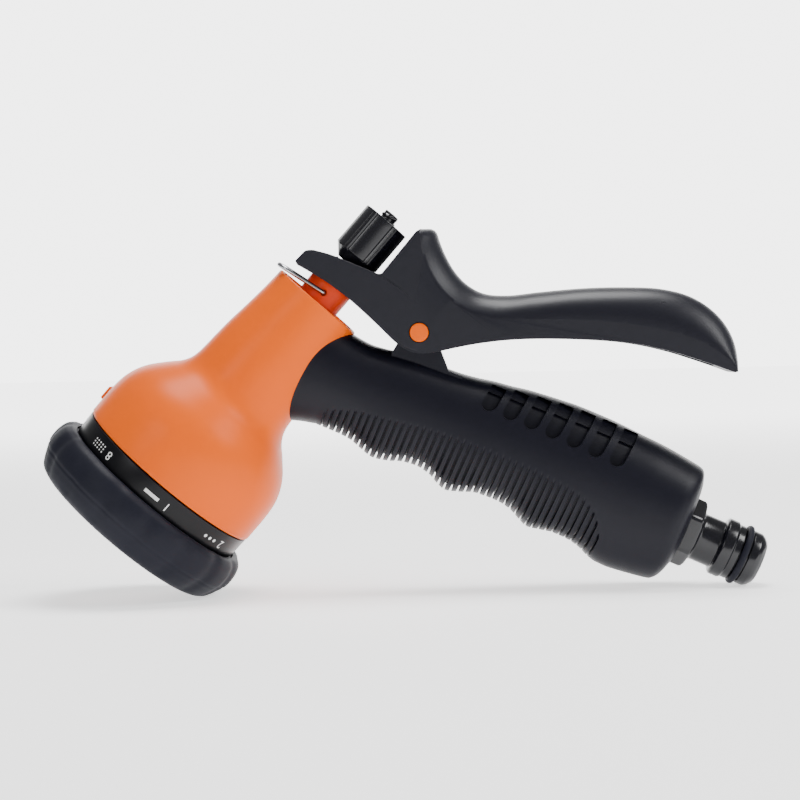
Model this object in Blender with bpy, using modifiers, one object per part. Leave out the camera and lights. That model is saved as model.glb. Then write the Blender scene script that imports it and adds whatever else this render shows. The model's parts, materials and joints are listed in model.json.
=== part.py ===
"""Hose spray nozzle: pattern head, lift valve, sprung trigger lever, ribbed grip, hose nipple.

Metres, +Z up, +X towards the hose end. The head and the grip each have their own axis, so their
pieces hang from two frames, whose local Z is that axis and whose local X points down and back.
"""
import math

import bmesh
import bpy
from mathutils import Matrix, Vector

for old in list(bpy.data.objects):
    bpy.data.objects.remove(old, do_unlink=True)

MM = 0.001
GAP = 0.3
SIDES = 36
FEW_SIDES = 20
COLLECTION_NAME = "hose_spray_nozzle"
STAND_X = -0.91
STAND_Z = 0.05

HEAD_ORIGIN = (-67.3, 35.3)
HEAD_LEAN = 41.9
GRIP_ORIGIN = (93.0, 10.8)
GRIP_LEAN = 114.6
PIVOT = (6.3, 74.9)

BELL_R = 29.2
BELL_PROFILE = [
    (14.0, 65.9), (14.0, 64.0), (14.6, 58.0), (15.2, 52.0), (16.0, 45.0), (16.4, 38.0), (16.9, 32.5),
    (17.9, 29.5), (19.7, 27.0), (22.7, 24.0), (25.2, 21.0), (27.0, 18.0), (28.3, 14.5), (29.0, 11.0),
    (BELL_R, 8.0), (BELL_R, 0.4), (28.8, 0.0),
]
BELL_INSIDE = [
    (26.6, 0.0), (26.6, 9.0), (25.6, 14.0), (22.4, 20.0), (17.4, 25.0), (14.0, 29.0), (11.6, 33.0),
    (11.6, 63.2), (7.0, 63.2), (7.0, 65.3), (12.6, 65.3), (12.9, 66.4), (13.6, 66.5),
]
POINTER_SIZE = (1.6, 4.0, 4.5)
POINTER_H = 6.0
NECK_HOLE_R = 6.6

RING_TOP = -GAP
RING_FOOT = -7.1
RING_R = 29.0
BUMPER_R = 33.6
BUMPER_PROFILE = [
    (29.3, -6.6), (31.0, -6.6), (32.4, -8.2), (33.4, -11.0), (BUMPER_R, -12.6), (33.2, -14.6),
    (32.3, -16.4), (31.6, -18.6), (30.2, -20.4), (28.0, -21.6), (26.4, -21.6), (26.4, -7.4), (29.3, -7.4),
]
DISC_R = 26.1
DISC_FRONT = -19.6
OUTLET_RING_R = 16.5
PATTERNS = 8

VALVE_R = 11.3
VALVE_BORE = 7.6
SEAT_TOP = 38.4
STEM_R = 2.35
THREAD_R = 2.8
STEM_TOP = 99.5
SLEEVE_R = 6.65
SLEEVE_TOP = 74.0
SLEEVE_FOOT = 63.0
CLIP_WIRE_R = 0.7
CLIP_PIVOT_H = 69.4
CLIP_REACH = 15.1
CLIP_DROP = 2.1
CLIP_HALF = 7.55

KNOB_R = 7.25
KNOB_FOOT = 83.2
KNOB_TOP = 97.0
KNOB_FACETS = 8
WASHER_FOOT = 79.7
LAND_TOP = 79.35
LAND_FALL = 14.0
LAND_WIDE = 15.4
WASHER_R = 4.4

LEVER_HALF = 9.4
LEVER_WALL = 2.1
PIN_R = 2.7
LEVER_TOP = [
    (-34.6, 21.4), (-35.0, 22.2), (-34.0, 24.0), (-31.0, 25.2), (-22.8, 22.8), (-11.6, 17.4), (-10.4, 17.2),
    (-0.3, 29.0), (0.8, 29.9), (4.6, 29.9), (5.6, 28.9), (7.8, 22.5), (10.5, 17.5), (13.9, 13.5),
    (19.1, 10.7), (25.0, 10.1), (35.0, 11.1), (47.5, 11.9), (59.5, 11.8), (69.6, 11.2), (77.7, 9.0),
    (83.7, 5.2), (87.8, 0.7), (90.5, -4.3), (91.7, -10.4), (91.2, -12.8),
]
LEVER_FOOT = [
    (90.0, -13.4), (83.3, -11.0), (71.2, -6.9), (59.1, -4.1), (43.0, -2.7), (27.6, -2.4), (17.0, -3.4),
    (7.5, -5.2), (3.0, -5.8), (0.0, -6.0), (-3.0, -5.2), (-6.6, -2.8), (-19.9, 10.1), (-33.6, 20.8),
]
LEVER_HOLLOW = [
    (-31.8, 10.0), (-31.8, 21.4), (-24.0, 19.8), (-14.0, 15.2), (-6.0, 12.0), (1.0, 9.4),
    (8.0, 8.8), (14.0, 8.4),
    (24.0, 6.8), (36.0, 7.8), (48.0, 8.5), (60.0, 8.4), (70.0, 7.4), (78.0, 4.4), (83.0, 0.0),
    (85.0, -5.0), (85.0, -20.0), (-10.0, -20.0),
]

GRIP_BORE = 6.5
SPIGOT_R = 8.0
SPIGOT_END = -32.0
GRIP_SECTIONS = [
    # along, top, foot, half width
    (-133.0, 16.2, 16.4, 11.3), (-127.0, 15.0, 14.6, 11.4), (-122.9, 14.2, 14.0, 11.5),
    (-122.5, 14.1, 10.2, 11.5),
    (-116.0, 13.7, 10.0, 11.7), (-110.0, 14.5, 10.8, 11.9), (-104.0, 15.1, 12.4, 12.1),
    (-98.0, 15.5, 11.2, 12.4),
    (-92.0, 16.0, 9.9, 12.7), (-86.0, 16.7, 10.8, 13.0), (-81.0, 17.6, 12.8, 13.3), (-76.0, 18.4, 11.4, 13.6),
    (-70.0, 19.5, 9.9, 13.9), (-64.0, 20.2, 10.0, 14.2), (-59.0, 20.7, 11.6, 14.5), (-55.0, 21.0, 13.0, 14.7),
    (-50.0, 21.1, 12.4, 14.9), (-44.0, 21.1, 11.8, 15.0), (-39.0, 20.9, 12.6, 15.1),
    (-35.4, 20.7, 13.6, 15.1),
    (-35.0, 20.6, 18.2, 15.2), (-30.0, 20.4, 18.6, 15.2), (-24.0, 19.9, 18.1, 15.0),
    (-18.0, 19.2, 17.4, 14.7),
    (-15.0, 17.4, 15.4, 13.4), (-13.4, 13.4, 12.0, 11.0),
]
PAD_TIPS = [
    (-122.0, 14.0), (-116.0, 13.9), (-112.0, 14.2), (-108.0, 15.4), (-104.0, 16.4), (-100.0, 15.8),
    (-95.0, 14.0), (-91.0, 13.6), (-87.0, 14.3), (-84.0, 15.7), (-81.0, 16.7), (-77.0, 15.6), (-72.0, 13.9),
    (-66.0, 13.6), (-62.0, 14.2), (-58.0, 15.9), (-55.0, 17.0), (-51.0, 16.3), (-47.0, 15.6), (-43.0, 15.7),
    (-39.0, 16.5), (-36.2, 17.6),
]
RIB_PITCH = 1.98
RIB_COUNT = 44
RIB_DEPTH = 2.4
SLOT_COUNT = 7
SLOT_FIRST = -78.2
SLOT_PITCH = 6.63
SLOT_WIDTH = 4.6
SLOT_LOWER = 12.4
SLOT_REACH = 0.86
SLOT_FLOOR = 0.5616
SLOT_CUT = 4.0
BRACKET_HALF = 6.4
BRACKET = [
    (-3.6, 2.0), (-5.4, -2.0), (-8.4, -12.0), (0.0, -20.0), (14.0, -22.0), (12.6, -12.6), (8.6, -11.6),
    (6.9, -8.0), (5.6, -4.0), (4.2, 2.0), (2.0, 4.2), (-1.6, 4.4),
]

HEX_R = 10.4
HEX_FOOT = -13.0
HEX_TOP = -9.4
NIPPLE_BORE = 4.6
NIPPLE_PROFILE = [
    (6.0, 10.7), (7.4, 9.4), (8.1, 8.2), (8.1, 6.3), (7.2, 6.2), (7.2, 3.4), (8.1, 3.3),
    (8.1, 1.4), (8.7, 1.0),
    (8.7, -1.8), (8.2, -2.2), (7.0, -2.4), (7.0, -9.8), (8.6, -9.8), (8.6, -12.0), (SPIGOT_R, -12.4),
    (SPIGOT_R, SPIGOT_END + 0.6), (7.4, SPIGOT_END), (4.0, SPIGOT_END), (4.0, 10.7),
]

parts = bpy.data.collections.new(COLLECTION_NAME)
cutters = bpy.data.collections.new("cutters")
bpy.context.scene.collection.children.link(parts)
bpy.context.scene.collection.children.link(cutters)
cutters.hide_render = True


def frame(name, x, z, lean=0.0, parent=None):
    empty = bpy.data.objects.new(name, None)
    empty.location = (x * MM, 0.0, z * MM)
    empty.rotation_euler = (0.0, math.radians(lean), 0.0)
    empty.parent = parent
    parts.objects.link(empty)
    return empty


def paint(name, colour, rough, metal=0.0):
    made = bpy.data.materials.new(name)
    made.use_nodes = True
    shader = made.node_tree.nodes["Principled BSDF"]
    shader.inputs["Base Color"].default_value = (*colour, 1.0)
    shader.inputs["Roughness"].default_value = rough
    shader.inputs["Metallic"].default_value = metal
    made.diffuse_color = (*colour, 1.0)
    return made


ORANGE = (1.0, 0.22, 0.012)
RED_ORANGE = (0.82, 0.1, 0.015)
BLACK = (0.018, 0.018, 0.023)
RUBBER = (0.022, 0.023, 0.028)
STEEL = (0.62, 0.63, 0.65)
BRASS = (0.72, 0.52, 0.2)
NATURAL = (0.75, 0.75, 0.72)


def add(name, mesh, parent, colour, rough=0.45, metal=0.0, smooth=True):
    obj = bpy.data.objects.new(name, mesh)
    obj.parent = parent
    parts.objects.link(obj)
    mesh.materials.append(paint(name, colour, rough, metal))
    if smooth:
        for face in mesh.polygons:
            face.use_smooth = True
    return obj


def add_cutter(name, mesh, parent):
    obj = bpy.data.objects.new(name, mesh)
    obj.parent = parent
    obj.hide_render = True
    obj.display_type = "WIRE"
    cutters.objects.link(obj)
    return obj


def profile_mesh(name, profile, closed):
    made = bmesh.new()
    points = [made.verts.new((r * MM, 0.0, h * MM)) for r, h in profile]
    for a, b in zip(points, points[1:]):
        made.edges.new((a, b))
    if closed:
        made.edges.new((points[-1], points[0]))
    mesh = bpy.data.meshes.new(name)
    made.to_mesh(mesh)
    made.free()
    return mesh


def spin(obj, sides):
    screw = obj.modifiers.new("Screw", "SCREW")
    screw.steps = sides
    screw.render_steps = sides
    screw.use_merge_vertices = True
    screw.merge_threshold = 0.00001
    screw.use_smooth_shade = True
    return obj


def turned(name, parent, profile, colour, rough=0.45, metal=0.0, sides=SIDES):
    """A turned piece. Its profile runs down the outer side; it is closed when it stays off the axis."""
    closed = all(r > 0 for r, _ in profile)
    obj = add(name, profile_mesh(name, profile, closed), parent, colour, rough, metal)
    return spin(obj, sides)


def turned_cutter(name, parent, profile, sides=SIDES):
    closed = all(r > 0 for r, _ in profile)
    return spin(add_cutter(name, profile_mesh(name, profile, closed), parent), sides)


def rod_profile(radius, foot, top, chamfer=0.0):
    return [
        (0.0, top),
        (radius - chamfer, top),
        *([(radius, top - chamfer)] if chamfer else []),
        *([(radius, foot + chamfer)] if chamfer else []),
        (radius - chamfer, foot),
        (0.0, foot),
    ]


def tube_profile(outer, inner, foot, top, chamfer=0.0):
    outside = [(outer - chamfer, top), (outer, top - chamfer), (outer, foot + chamfer), (outer - chamfer, foot)]
    if not chamfer:
        outside = [(outer, top), (outer, foot)]
    return [*outside, (inner, foot), (inner, top)]


def oring_profile(radius, wire, h, sides=8):
    turns = [2 * math.pi * k / sides for k in range(sides)]
    return [(radius + wire * math.cos(a), h - wire * math.sin(a)) for a in turns]


def box_mesh(name, size, centre=(0.0, 0.0, 0.0)):
    made = bmesh.new()
    bmesh.ops.create_cube(made, size=1.0)
    bmesh.ops.scale(made, vec=Vector(size) * MM, verts=made.verts)
    bmesh.ops.translate(made, vec=Vector(centre) * MM, verts=made.verts)
    mesh = bpy.data.meshes.new(name)
    made.to_mesh(mesh)
    made.free()
    return mesh


def cylinder_mesh(name, radius, length, centre, direction=(0, 0, 1), sides=16, end_radius=None):
    made = bmesh.new()
    turn = Vector((0, 0, 1)).rotation_difference(Vector(direction)).to_matrix().to_4x4()
    bmesh.ops.create_cone(
        made, cap_ends=True, segments=sides, radius1=radius * MM,
        radius2=(radius if end_radius is None else end_radius) * MM, depth=length * MM,
        matrix=Matrix.Translation(Vector(centre) * MM) @ turn,
    )
    mesh = bpy.data.meshes.new(name)
    made.to_mesh(mesh)
    made.free()
    return mesh


def boolean(obj, other, operation="DIFFERENCE"):
    made = obj.modifiers.new(other.name, "BOOLEAN")
    made.operation = operation
    made.solver = "EXACT"
    made.object = other
    return made


def joined(name, meshes):
    """Separate cutting shapes held in one mesh."""
    made = bmesh.new()
    for mesh in meshes:
        made.from_mesh(mesh)
        bpy.data.meshes.remove(mesh)
    whole = bpy.data.meshes.new(name)
    made.to_mesh(whole)
    made.free()
    return whole


def plate_mesh(name, outline, half, rounding=0.0):
    """A flat outline in the XZ plane, thickened each way along Y."""
    curve = bpy.data.curves.new(name, "CURVE")
    curve.dimensions = "2D"
    curve.fill_mode = "BOTH"
    curve.extrude = (half - rounding) * MM
    curve.bevel_depth = rounding * MM
    curve.bevel_resolution = 1
    curve.offset = -rounding * MM
    line = curve.splines.new("POLY")
    line.points.add(len(outline) - 1)
    for point, (x, z) in zip(line.points, outline):
        point.co = (x * MM, z * MM, 0.0, 1.0)
    line.use_cyclic_u = True
    holder = bpy.data.objects.new(name + "_curve", curve)
    bpy.context.scene.collection.objects.link(holder)
    bpy.context.view_layer.update()
    mesh = bpy.data.meshes.new_from_object(holder.evaluated_get(bpy.context.evaluated_depsgraph_get()))
    bpy.data.objects.remove(holder)
    bpy.data.curves.remove(curve)
    made = bmesh.new()
    made.from_mesh(mesh)
    bmesh.ops.remove_doubles(made, verts=made.verts, dist=0.00001)
    bmesh.ops.rotate(made, verts=made.verts, matrix=Matrix.Rotation(math.radians(90), 3, "X"))
    bmesh.ops.recalc_face_normals(made, faces=made.faces)
    made.to_mesh(mesh)
    made.free()
    mesh.name = name
    return mesh


def loft_mesh(name, sections):
    """Rings of points joined in order, with the two ends closed."""
    made = bmesh.new()
    rings = [[made.verts.new(Vector(point) * MM) for point in section] for section in sections]
    count = len(rings[0])
    for low, high in zip(rings, rings[1:]):
        for k in range(count):
            made.faces.new((low[k], low[(k + 1) % count], high[(k + 1) % count], high[k]))
    made.faces.new(rings[0][::-1])
    made.faces.new(rings[-1])
    if made.calc_volume(signed=True) < 0:
        bmesh.ops.reverse_faces(made, faces=made.faces)
    mesh = bpy.data.meshes.new(name)
    made.to_mesh(mesh)
    made.free()
    return mesh


def coil_curve(name, parent, radius, wire, foot, top, turns, at=(0.0, 0.0), steps=12):
    curve = bpy.data.curves.new(name, "CURVE")
    curve.dimensions = "3D"
    curve.bevel_depth = wire * MM
    curve.bevel_resolution = 0
    curve.use_fill_caps = True
    line = curve.splines.new("POLY")
    count = turns * steps + 1
    line.points.add(count - 1)
    for k, point in enumerate(line.points):
        angle = 2 * math.pi * k / steps
        h = foot + wire + (top - foot - 2 * wire) * k / (count - 1)
        x = at[0] + radius * math.cos(angle)
        y = at[1] + radius * math.sin(angle)
        point.co = (x * MM, y * MM, h * MM, 1.0)
    obj = bpy.data.objects.new(name, curve)
    obj.parent = parent
    parts.objects.link(obj)
    curve.materials.append(paint(name, STEEL, 0.3, 1.0))
    return obj


def read_off(table, at, column=1):
    """A value between two rows of a table of sizes along an axis."""
    for low, high in zip(table, table[1:]):
        if at <= high[0]:
            break
    share = max(0.0, min(1.0, (at - low[0]) / (high[0] - low[0])))
    return low[column] + (high[column] - low[column]) * share


def oval(along, top, foot, half, turns, power=2.3):
    """Points of one grip section, as rounded above and below."""
    points = []
    for a in turns:
        across = math.copysign(abs(math.sin(a)) ** (2 / power), math.sin(a))
        down = math.copysign(abs(math.cos(a)) ** (2 / power), math.cos(a))
        points.append(((foot if down > 0 else top) * down, half * across, along))
    return points


# ---------------------------------------------------------------- head


def head_shell(head, crossing):
    obj = turned("head_shell", head, BELL_PROFILE + BELL_INSIDE, ORANGE, 0.32)
    tab = box_mesh("pointer_block", POINTER_SIZE, (-BELL_R, 0.0, POINTER_H))
    boolean(obj, add_cutter("pointer_block", tab, head), "UNION")
    hole = cylinder_mesh("neck_hole", NECK_HOLE_R, 24.0, (0.0, 0.0, 12.0))
    boolean(obj, add_cutter("neck_hole", hole, crossing))
    return obj


def selector(head):
    """The pieces that turn together to choose a spray pattern."""
    ring = [
        (28.5, RING_TOP), (RING_R, RING_TOP - 0.4), (28.5, RING_FOOT + 0.3), (28.5, RING_FOOT),
        (26.9, RING_FOOT), (26.9, -2.4), (24.2, -2.4), (24.2, RING_TOP),
    ]
    turned("pattern_ring", head, ring, BLACK, 0.4)
    turned("bumper_ring", head, BUMPER_PROFILE, RUBBER, 0.7)
    disc = [
        (3.0, -15.4), (6.6, -15.4), (6.6, -13.2), (22.0, -13.2), (22.0, -4.0), (DISC_R, -4.0),
        (DISC_R, DISC_FRONT),
        (24.0, DISC_FRONT), (23.2, -18.4), (7.6, -18.4), (7.6, -16.9), (3.0, -16.9),
    ]
    obj = turned("pattern_disc", head, disc, BLACK, 0.5)
    boolean(obj, add_cutter("outlets", outlet_mesh(), head))
    return obj


def outlet_mesh():
    """Eight groups of outlets: two slots, a jet, a round group, and so on round the disc."""
    meshes = []
    for k in range(PATTERNS):
        turn = 2 * math.pi * k / PATTERNS
        across = Vector((-math.sin(turn), math.cos(turn), 0.0))
        out = Vector((math.cos(turn), math.sin(turn), 0.0))
        centre = out * OUTLET_RING_R + Vector((0.0, 0.0, -15.8))
        if k % 4 == 0:
            meshes.append(cylinder_mesh("outlet", 1.7, 9.0, centre, sides=10))
        elif k % 4 == 1:
            for row in (-2.2, 0.0, 2.2):
                for place in (-1.1, 1.1):
                    spot = centre + out * row + across * place
                    meshes.append(cylinder_mesh("outlet", 0.55, 9.0, spot, sides=6))
        elif k % 4 == 2:
            slot = box_mesh("outlet", (1.3, 7.0, 9.0))
            slot.transform(Matrix.Translation(centre * MM) @ Matrix.Rotation(turn, 4, "Z"))
            meshes.append(slot)
        else:
            for place in (-2.6, 0.0, 2.6):
                meshes.append(cylinder_mesh("outlet", 0.8, 9.0, centre + across * place, sides=8))
    return joined("outlets", meshes)


def stator(head):
    """The fixed plate behind the turning disc, with its port, seal, detent and centre screw."""
    plate = [(3.2, 2.0), (26.2, 2.0), (26.2, 0.1), (21.6, 0.1), (21.6, -11.2), (6.2, -11.2), (6.2, -14.9),
             (1.4, -14.9), (1.4, -7.0), (3.2, -7.0)]
    obj = turned("port_plate", head, plate, BLACK, 0.5, sides=28)
    holes = [
        cylinder_mesh("port", 3.4, 20.0, (-OUTLET_RING_R, 0.0, -6.0)),
        cylinder_mesh("detent_hole", 1.9, 12.0, (OUTLET_RING_R, 0.0, -10.5)),
    ]
    boolean(obj, add_cutter("plate_holes", joined("plate_holes", holes), head))
    seal_frame = frame("port_axis", 0.0, 0.0, 0.0, head)
    seal_frame.location = (-OUTLET_RING_R * MM, 0.0, 0.0)
    turned("port_seal", seal_frame, tube_profile(3.1, 1.9, -12.9, -8.4, 0.3), RUBBER, 0.7, sides=16)
    coil_curve("port_spring", seal_frame, 2.5, 0.35, -8.1, 1.6, 4, steps=8)
    pin_frame = frame("detent_axis", 0.0, 0.0, 0.0, head)
    pin_frame.location = (OUTLET_RING_R * MM, 0.0, 0.0)
    pin = [(0.0, -9.6), (1.6, -9.6), (1.6, -12.2), (1.0, -12.9), (0.0, -12.9)]
    turned("detent_pin", pin_frame, pin, STEEL, 0.25, 1.0, sides=12)
    coil_curve("detent_spring", pin_frame, 1.2, 0.25, -9.3, -4.8, 4, steps=8)
    turned("face_seal", head, oring_profile(22.9, 0.85, -2.9, 4), RUBBER, 0.7, sides=24)


def face_fixings(head):
    screw = [
        (0.0, -8.0), (1.1, -8.0), (1.1, -17.2), (2.9, -17.2), (2.9, -18.2), (2.2, -19.0), (0.0, -19.0),
    ]
    obj = turned("centre_screw", head, screw, STEEL, 0.3, 1.0, sides=16)
    cross = [box_mesh("cross", size, (0, 0, -19.0)) for size in ((3.0, 0.6, 1.6), (0.6, 3.0, 1.6))]
    boolean(obj, add_cutter("cross_a", cross[0], head))
    boolean(obj, add_cutter("cross_b", cross[1], head))
    cap = [(7.2, -17.2), (7.2, -18.9), (5.8, -20.2), (4.2, -20.2), (3.6, -19.2), (3.6, -17.2)]
    turned("centre_cap", head, cap, ORANGE, 0.35, sides=24)


def valve(head, crossing):
    body = [
        (8.2, 62.9), (VALVE_R, 62.9), (VALVE_R, 33.2), (9.0, 31.6), (3.8, 31.6), (3.8, 36.0),
        (VALVE_BORE, 36.0),
        (VALVE_BORE, 60.8), (8.2, 60.8),
    ]
    obj = turned("valve_body", head, body, BLACK, 0.5, sides=24)
    port = cylinder_mesh("side_port", 4.2, 16.0, (0.0, 0.0, 13.0))
    boolean(obj, add_cutter("side_port", port, crossing))
    turned("valve_seat", head, tube_profile(7.3, 3.6, 36.3, SEAT_TOP), NATURAL, 0.5, sides=FEW_SIDES)
    turned("plunger_seal", head, tube_profile(5.4, 1.8, SEAT_TOP + GAP, 40.4), RUBBER, 0.7, sides=FEW_SIDES)
    stem = [
        (0.0, STEM_TOP), (2.3, STEM_TOP), (THREAD_R, STEM_TOP - 0.7), (THREAD_R, 79.0), (STEM_R, 78.4),
        (STEM_R, 43.6), (5.2, 43.0), (5.2, 40.7), (1.5, 40.7), (1.5, 37.4), (0.9, 36.8), (0.0, 36.8),
    ]
    turned("stem_rod", head, stem, BLACK, 0.45, sides=24)
    gland = tube_profile(7.9, 3.6, 61.1, 62.6)
    turned("gland_nut", head, gland, BRASS, 0.35, 1.0, sides=FEW_SIDES)
    turned("stem_oring", head, oring_profile(3.65, 0.9, 59.7, 6), RUBBER, 0.7, sides=FEW_SIDES)
    coil_curve("valve_spring", head, 5.6, 0.55, 43.4, 57.7, 5)


def spring_shelf(head):
    """The washer that holds the O-ring and takes the upper end of the valve spring."""
    shelf = [(7.3, 60.8), (7.3, 58.0), (2.7, 58.0), (2.7, 58.7), (4.8, 58.7), (4.8, 60.8)]
    turned("oring_carrier", head, shelf, NATURAL, 0.5, sides=FEW_SIDES)


def sleeve_and_clip(head):
    profile = tube_profile(SLEEVE_R, 3.1, SLEEVE_FOOT, SLEEVE_TOP)
    obj = turned("stem_sleeve", head, profile, RED_ORANGE, 0.35, sides=24)
    pocket = cylinder_mesh("clip_hole", 0.95, 4.0, (0, -5.7, CLIP_PIVOT_H), (0, 1, 0), sides=10)
    other = cylinder_mesh("clip_hole", 0.95, 4.0, (0, 5.7, CLIP_PIVOT_H), (0, 1, 0), sides=10)
    boolean(obj, add_cutter("clip_holes", joined("clip_holes", [pocket, other]), head))
    axis = frame("clip_axis", 0.0, 0.0, 0.0, head)
    axis.location = (0.0, 0.0, CLIP_PIVOT_H * MM)
    curve = bpy.data.curves.new("wire_clip", "CURVE")
    curve.dimensions = "3D"
    curve.bevel_depth = CLIP_WIRE_R * MM
    curve.bevel_resolution = 1
    curve.use_fill_caps = True
    bend = 2.4
    half = [
        (0.0, 4.6, 0.0), (0.0, CLIP_HALF - 0.5, 0.0), (-0.5, CLIP_HALF, -0.07),
        (-(CLIP_REACH - bend), CLIP_HALF, -CLIP_DROP * (CLIP_REACH - bend) / CLIP_REACH),
        (-(CLIP_REACH - 0.3 * bend), CLIP_HALF - 0.3 * bend, -CLIP_DROP * 0.95),
        (-CLIP_REACH, CLIP_HALF - bend, -CLIP_DROP),
    ]
    path = half + [(x, -y, z) for x, y, z in reversed(half)]
    line = curve.splines.new("POLY")
    line.points.add(len(path) - 1)
    for point, place in zip(line.points, path):
        point.co = (*(Vector(place) * MM), 1.0)
    clip = bpy.data.objects.new("wire_clip", curve)
    clip.parent = axis
    parts.objects.link(clip)
    curve.materials.append(paint("wire_clip", STEEL, 0.2, 1.0))


def knob(head):
    """The flow knob on the stem's thread, and the washer under it that presses on the lever."""
    sections = []
    for h, scale in ((KNOB_FOOT - 3.0, 0.6), (KNOB_FOOT, 1.0), (KNOB_TOP - 0.5, 1.0), (KNOB_TOP, 0.94)):
        ring = []
        for k in range(KNOB_FACETS * 4):
            turn = 2 * math.pi * k / (KNOB_FACETS * 4)
            radius = KNOB_R * scale * (1.0, 0.955, 0.94, 0.955)[k % 4]
            ring.append((radius * math.cos(turn), radius * math.sin(turn), h))
        sections.append(ring)
    obj = add("flow_knob", loft_mesh("flow_knob", sections), head, BLACK, 0.3, smooth=False)
    bore = cylinder_mesh("knob_bore", THREAD_R + GAP, 40.0, (0.0, 0.0, 90.0), sides=24)
    boolean(obj, add_cutter("knob_bore", bore, head))
    washer = tube_profile(WASHER_R, 3.15, WASHER_FOOT, KNOB_FOOT - 3.0 - GAP)
    turned("knob_washer", head, washer, BLACK, 0.4, sides=24)


# ---------------------------------------------------------------- lever


def lever(pivot, head):
    plate = plate_mesh("trigger_lever", LEVER_TOP + LEVER_FOOT, LEVER_HALF, 1.0)
    obj = add("trigger_lever", plate, pivot, BLACK, 0.4)
    hollow = plate_mesh("lever_hollow", LEVER_HOLLOW, LEVER_HALF - LEVER_WALL)
    boolean(obj, add_cutter("lever_hollow", hollow, pivot))
    slot = box_mesh("stem_slot", (10.4, 6.6, 20.0), (0.4, 0.0, 78.0))
    boolean(obj, add_cutter("stem_slot", slot, head))
    land = box_mesh("washer_land", (9.0, LAND_WIDE, 8.0), (4.5, 0.0, LAND_TOP + 4.0))
    boolean(obj, add_cutter("washer_land", land, head))
    fall = box_mesh("land_fall", (14.0, LAND_WIDE, 8.0), (-5.0, 0.0, 4.0))
    tilt = Matrix.Rotation(math.radians(-LAND_FALL), 4, "Y")
    fall.transform(Matrix.Translation((0.0, 0.0, LAND_TOP * MM)) @ tilt)
    boolean(obj, add_cutter("land_fall", fall, head))
    hole = cylinder_mesh("pin_hole", PIN_R + GAP, 30.0, (0, 0, 0), (0, 1, 0), sides=24)
    boolean(obj, add_cutter("lever_pin_hole", hole, pivot))
    pin = cylinder_mesh("pivot_pin", PIN_R, 2 * LEVER_HALF - 0.2, (0, 0, 0), (0, 1, 0), sides=24)
    add("pivot_pin", pin, pivot, ORANGE, 0.35)


# ---------------------------------------------------------------- grip


def grip_shell(grip, head, pivot):
    turns = [2 * math.pi * k / 24 for k in range(24)]
    sections = [oval(*row, turns) for row in GRIP_SECTIONS]
    obj = add("grip_shell", loft_mesh("grip_shell", sections), grip, BLACK, 0.45)
    block = plate_mesh("bracket_block", BRACKET, BRACKET_HALF)
    boolean(obj, add_cutter("bracket_block", block, pivot), "UNION")
    neck = [(r + GAP, h) for r, h in BELL_PROFILE if h > 18.0]
    neck = [(0.0, 75.0), (14.3, 75.0), *neck[1:], (28.0, 16.0), (0.0, 16.0)]
    boolean(obj, turned_cutter("neck_space", head, neck))
    bore = [
        (0.0, 0.0), (SPIGOT_R + GAP, 0.0), (SPIGOT_R + GAP, SPIGOT_END - 0.6), (GRIP_BORE, SPIGOT_END - 0.6),
        (GRIP_BORE, -140.0), (0.0, -140.0),
    ]
    boolean(obj, turned_cutter("grip_bore", grip, bore, 24))
    boolean(obj, add_cutter("slots", slot_mesh(), grip))
    hole = cylinder_mesh("bracket_pin_hole", PIN_R + GAP, 30.0, (0, 0, 0), (0, 1, 0), sides=24)
    boolean(obj, add_cutter("bracket_pin_hole", hole, pivot))
    return obj


def slot_mesh():
    """Seven recesses down each shoulder of the grip, round at their lower ends."""
    half_turn = [math.pi * n / 6 for n in range(7)]
    meshes = []
    for side in (-1, 1):
        for k in range(SLOT_COUNT):
            at = SLOT_FIRST + SLOT_PITCH * k
            upper = SLOT_LOWER + (read_off(GRIP_SECTIONS, at) - SLOT_LOWER) * SLOT_REACH
            floor = read_off(GRIP_SECTIONS, at, 3) * SLOT_FLOOR
            outline = [(-upper, at - SLOT_WIDTH / 2), (-upper, at + SLOT_WIDTH / 2)]
            for a in half_turn:
                outline.append((-SLOT_LOWER + SLOT_WIDTH / 2 * math.sin(a), at + SLOT_WIDTH / 2 * math.cos(a)))
            mesh = plate_mesh("slot", outline, SLOT_CUT)
            mesh.transform(Matrix.Translation((0.0, side * (floor + SLOT_CUT) * MM, 0.0)))
            meshes.append(mesh)
    return joined("slots", meshes)


def grip_pad(grip):
    """The soft pad under the grip: a curved strip carrying the cross ribs."""
    reach = math.radians(75)
    outer = [reach - 2 * reach * k / 6 for k in range(7)]
    inner = [-reach + 2 * reach * k / 10 for k in range(11)]
    sections = []
    start = PAD_TIPS[0][0]
    rows = []
    for k in range(RIB_COUNT):
        at = start + RIB_PITCH * k
        rows += [(at, RIB_DEPTH), (at + RIB_PITCH / 2, 0.0)]
    for at, depth in rows:
        tip = read_off(PAD_TIPS, at)
        top = read_off(GRIP_SECTIONS, at)
        foot = read_off(GRIP_SECTIONS, at, 2)
        half = read_off(GRIP_SECTIONS, at, 3)
        ring = oval(at, top, tip - depth, half + 1.2 - 0.12 * depth, outer)
        ring += oval(at, top, foot + 1.5 * GAP, half + 1.5 * GAP, inner)
        sections.append(ring)
    add("grip_pad", loft_mesh("grip_pad", sections), grip, RUBBER, 0.65, smooth=False)


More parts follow.
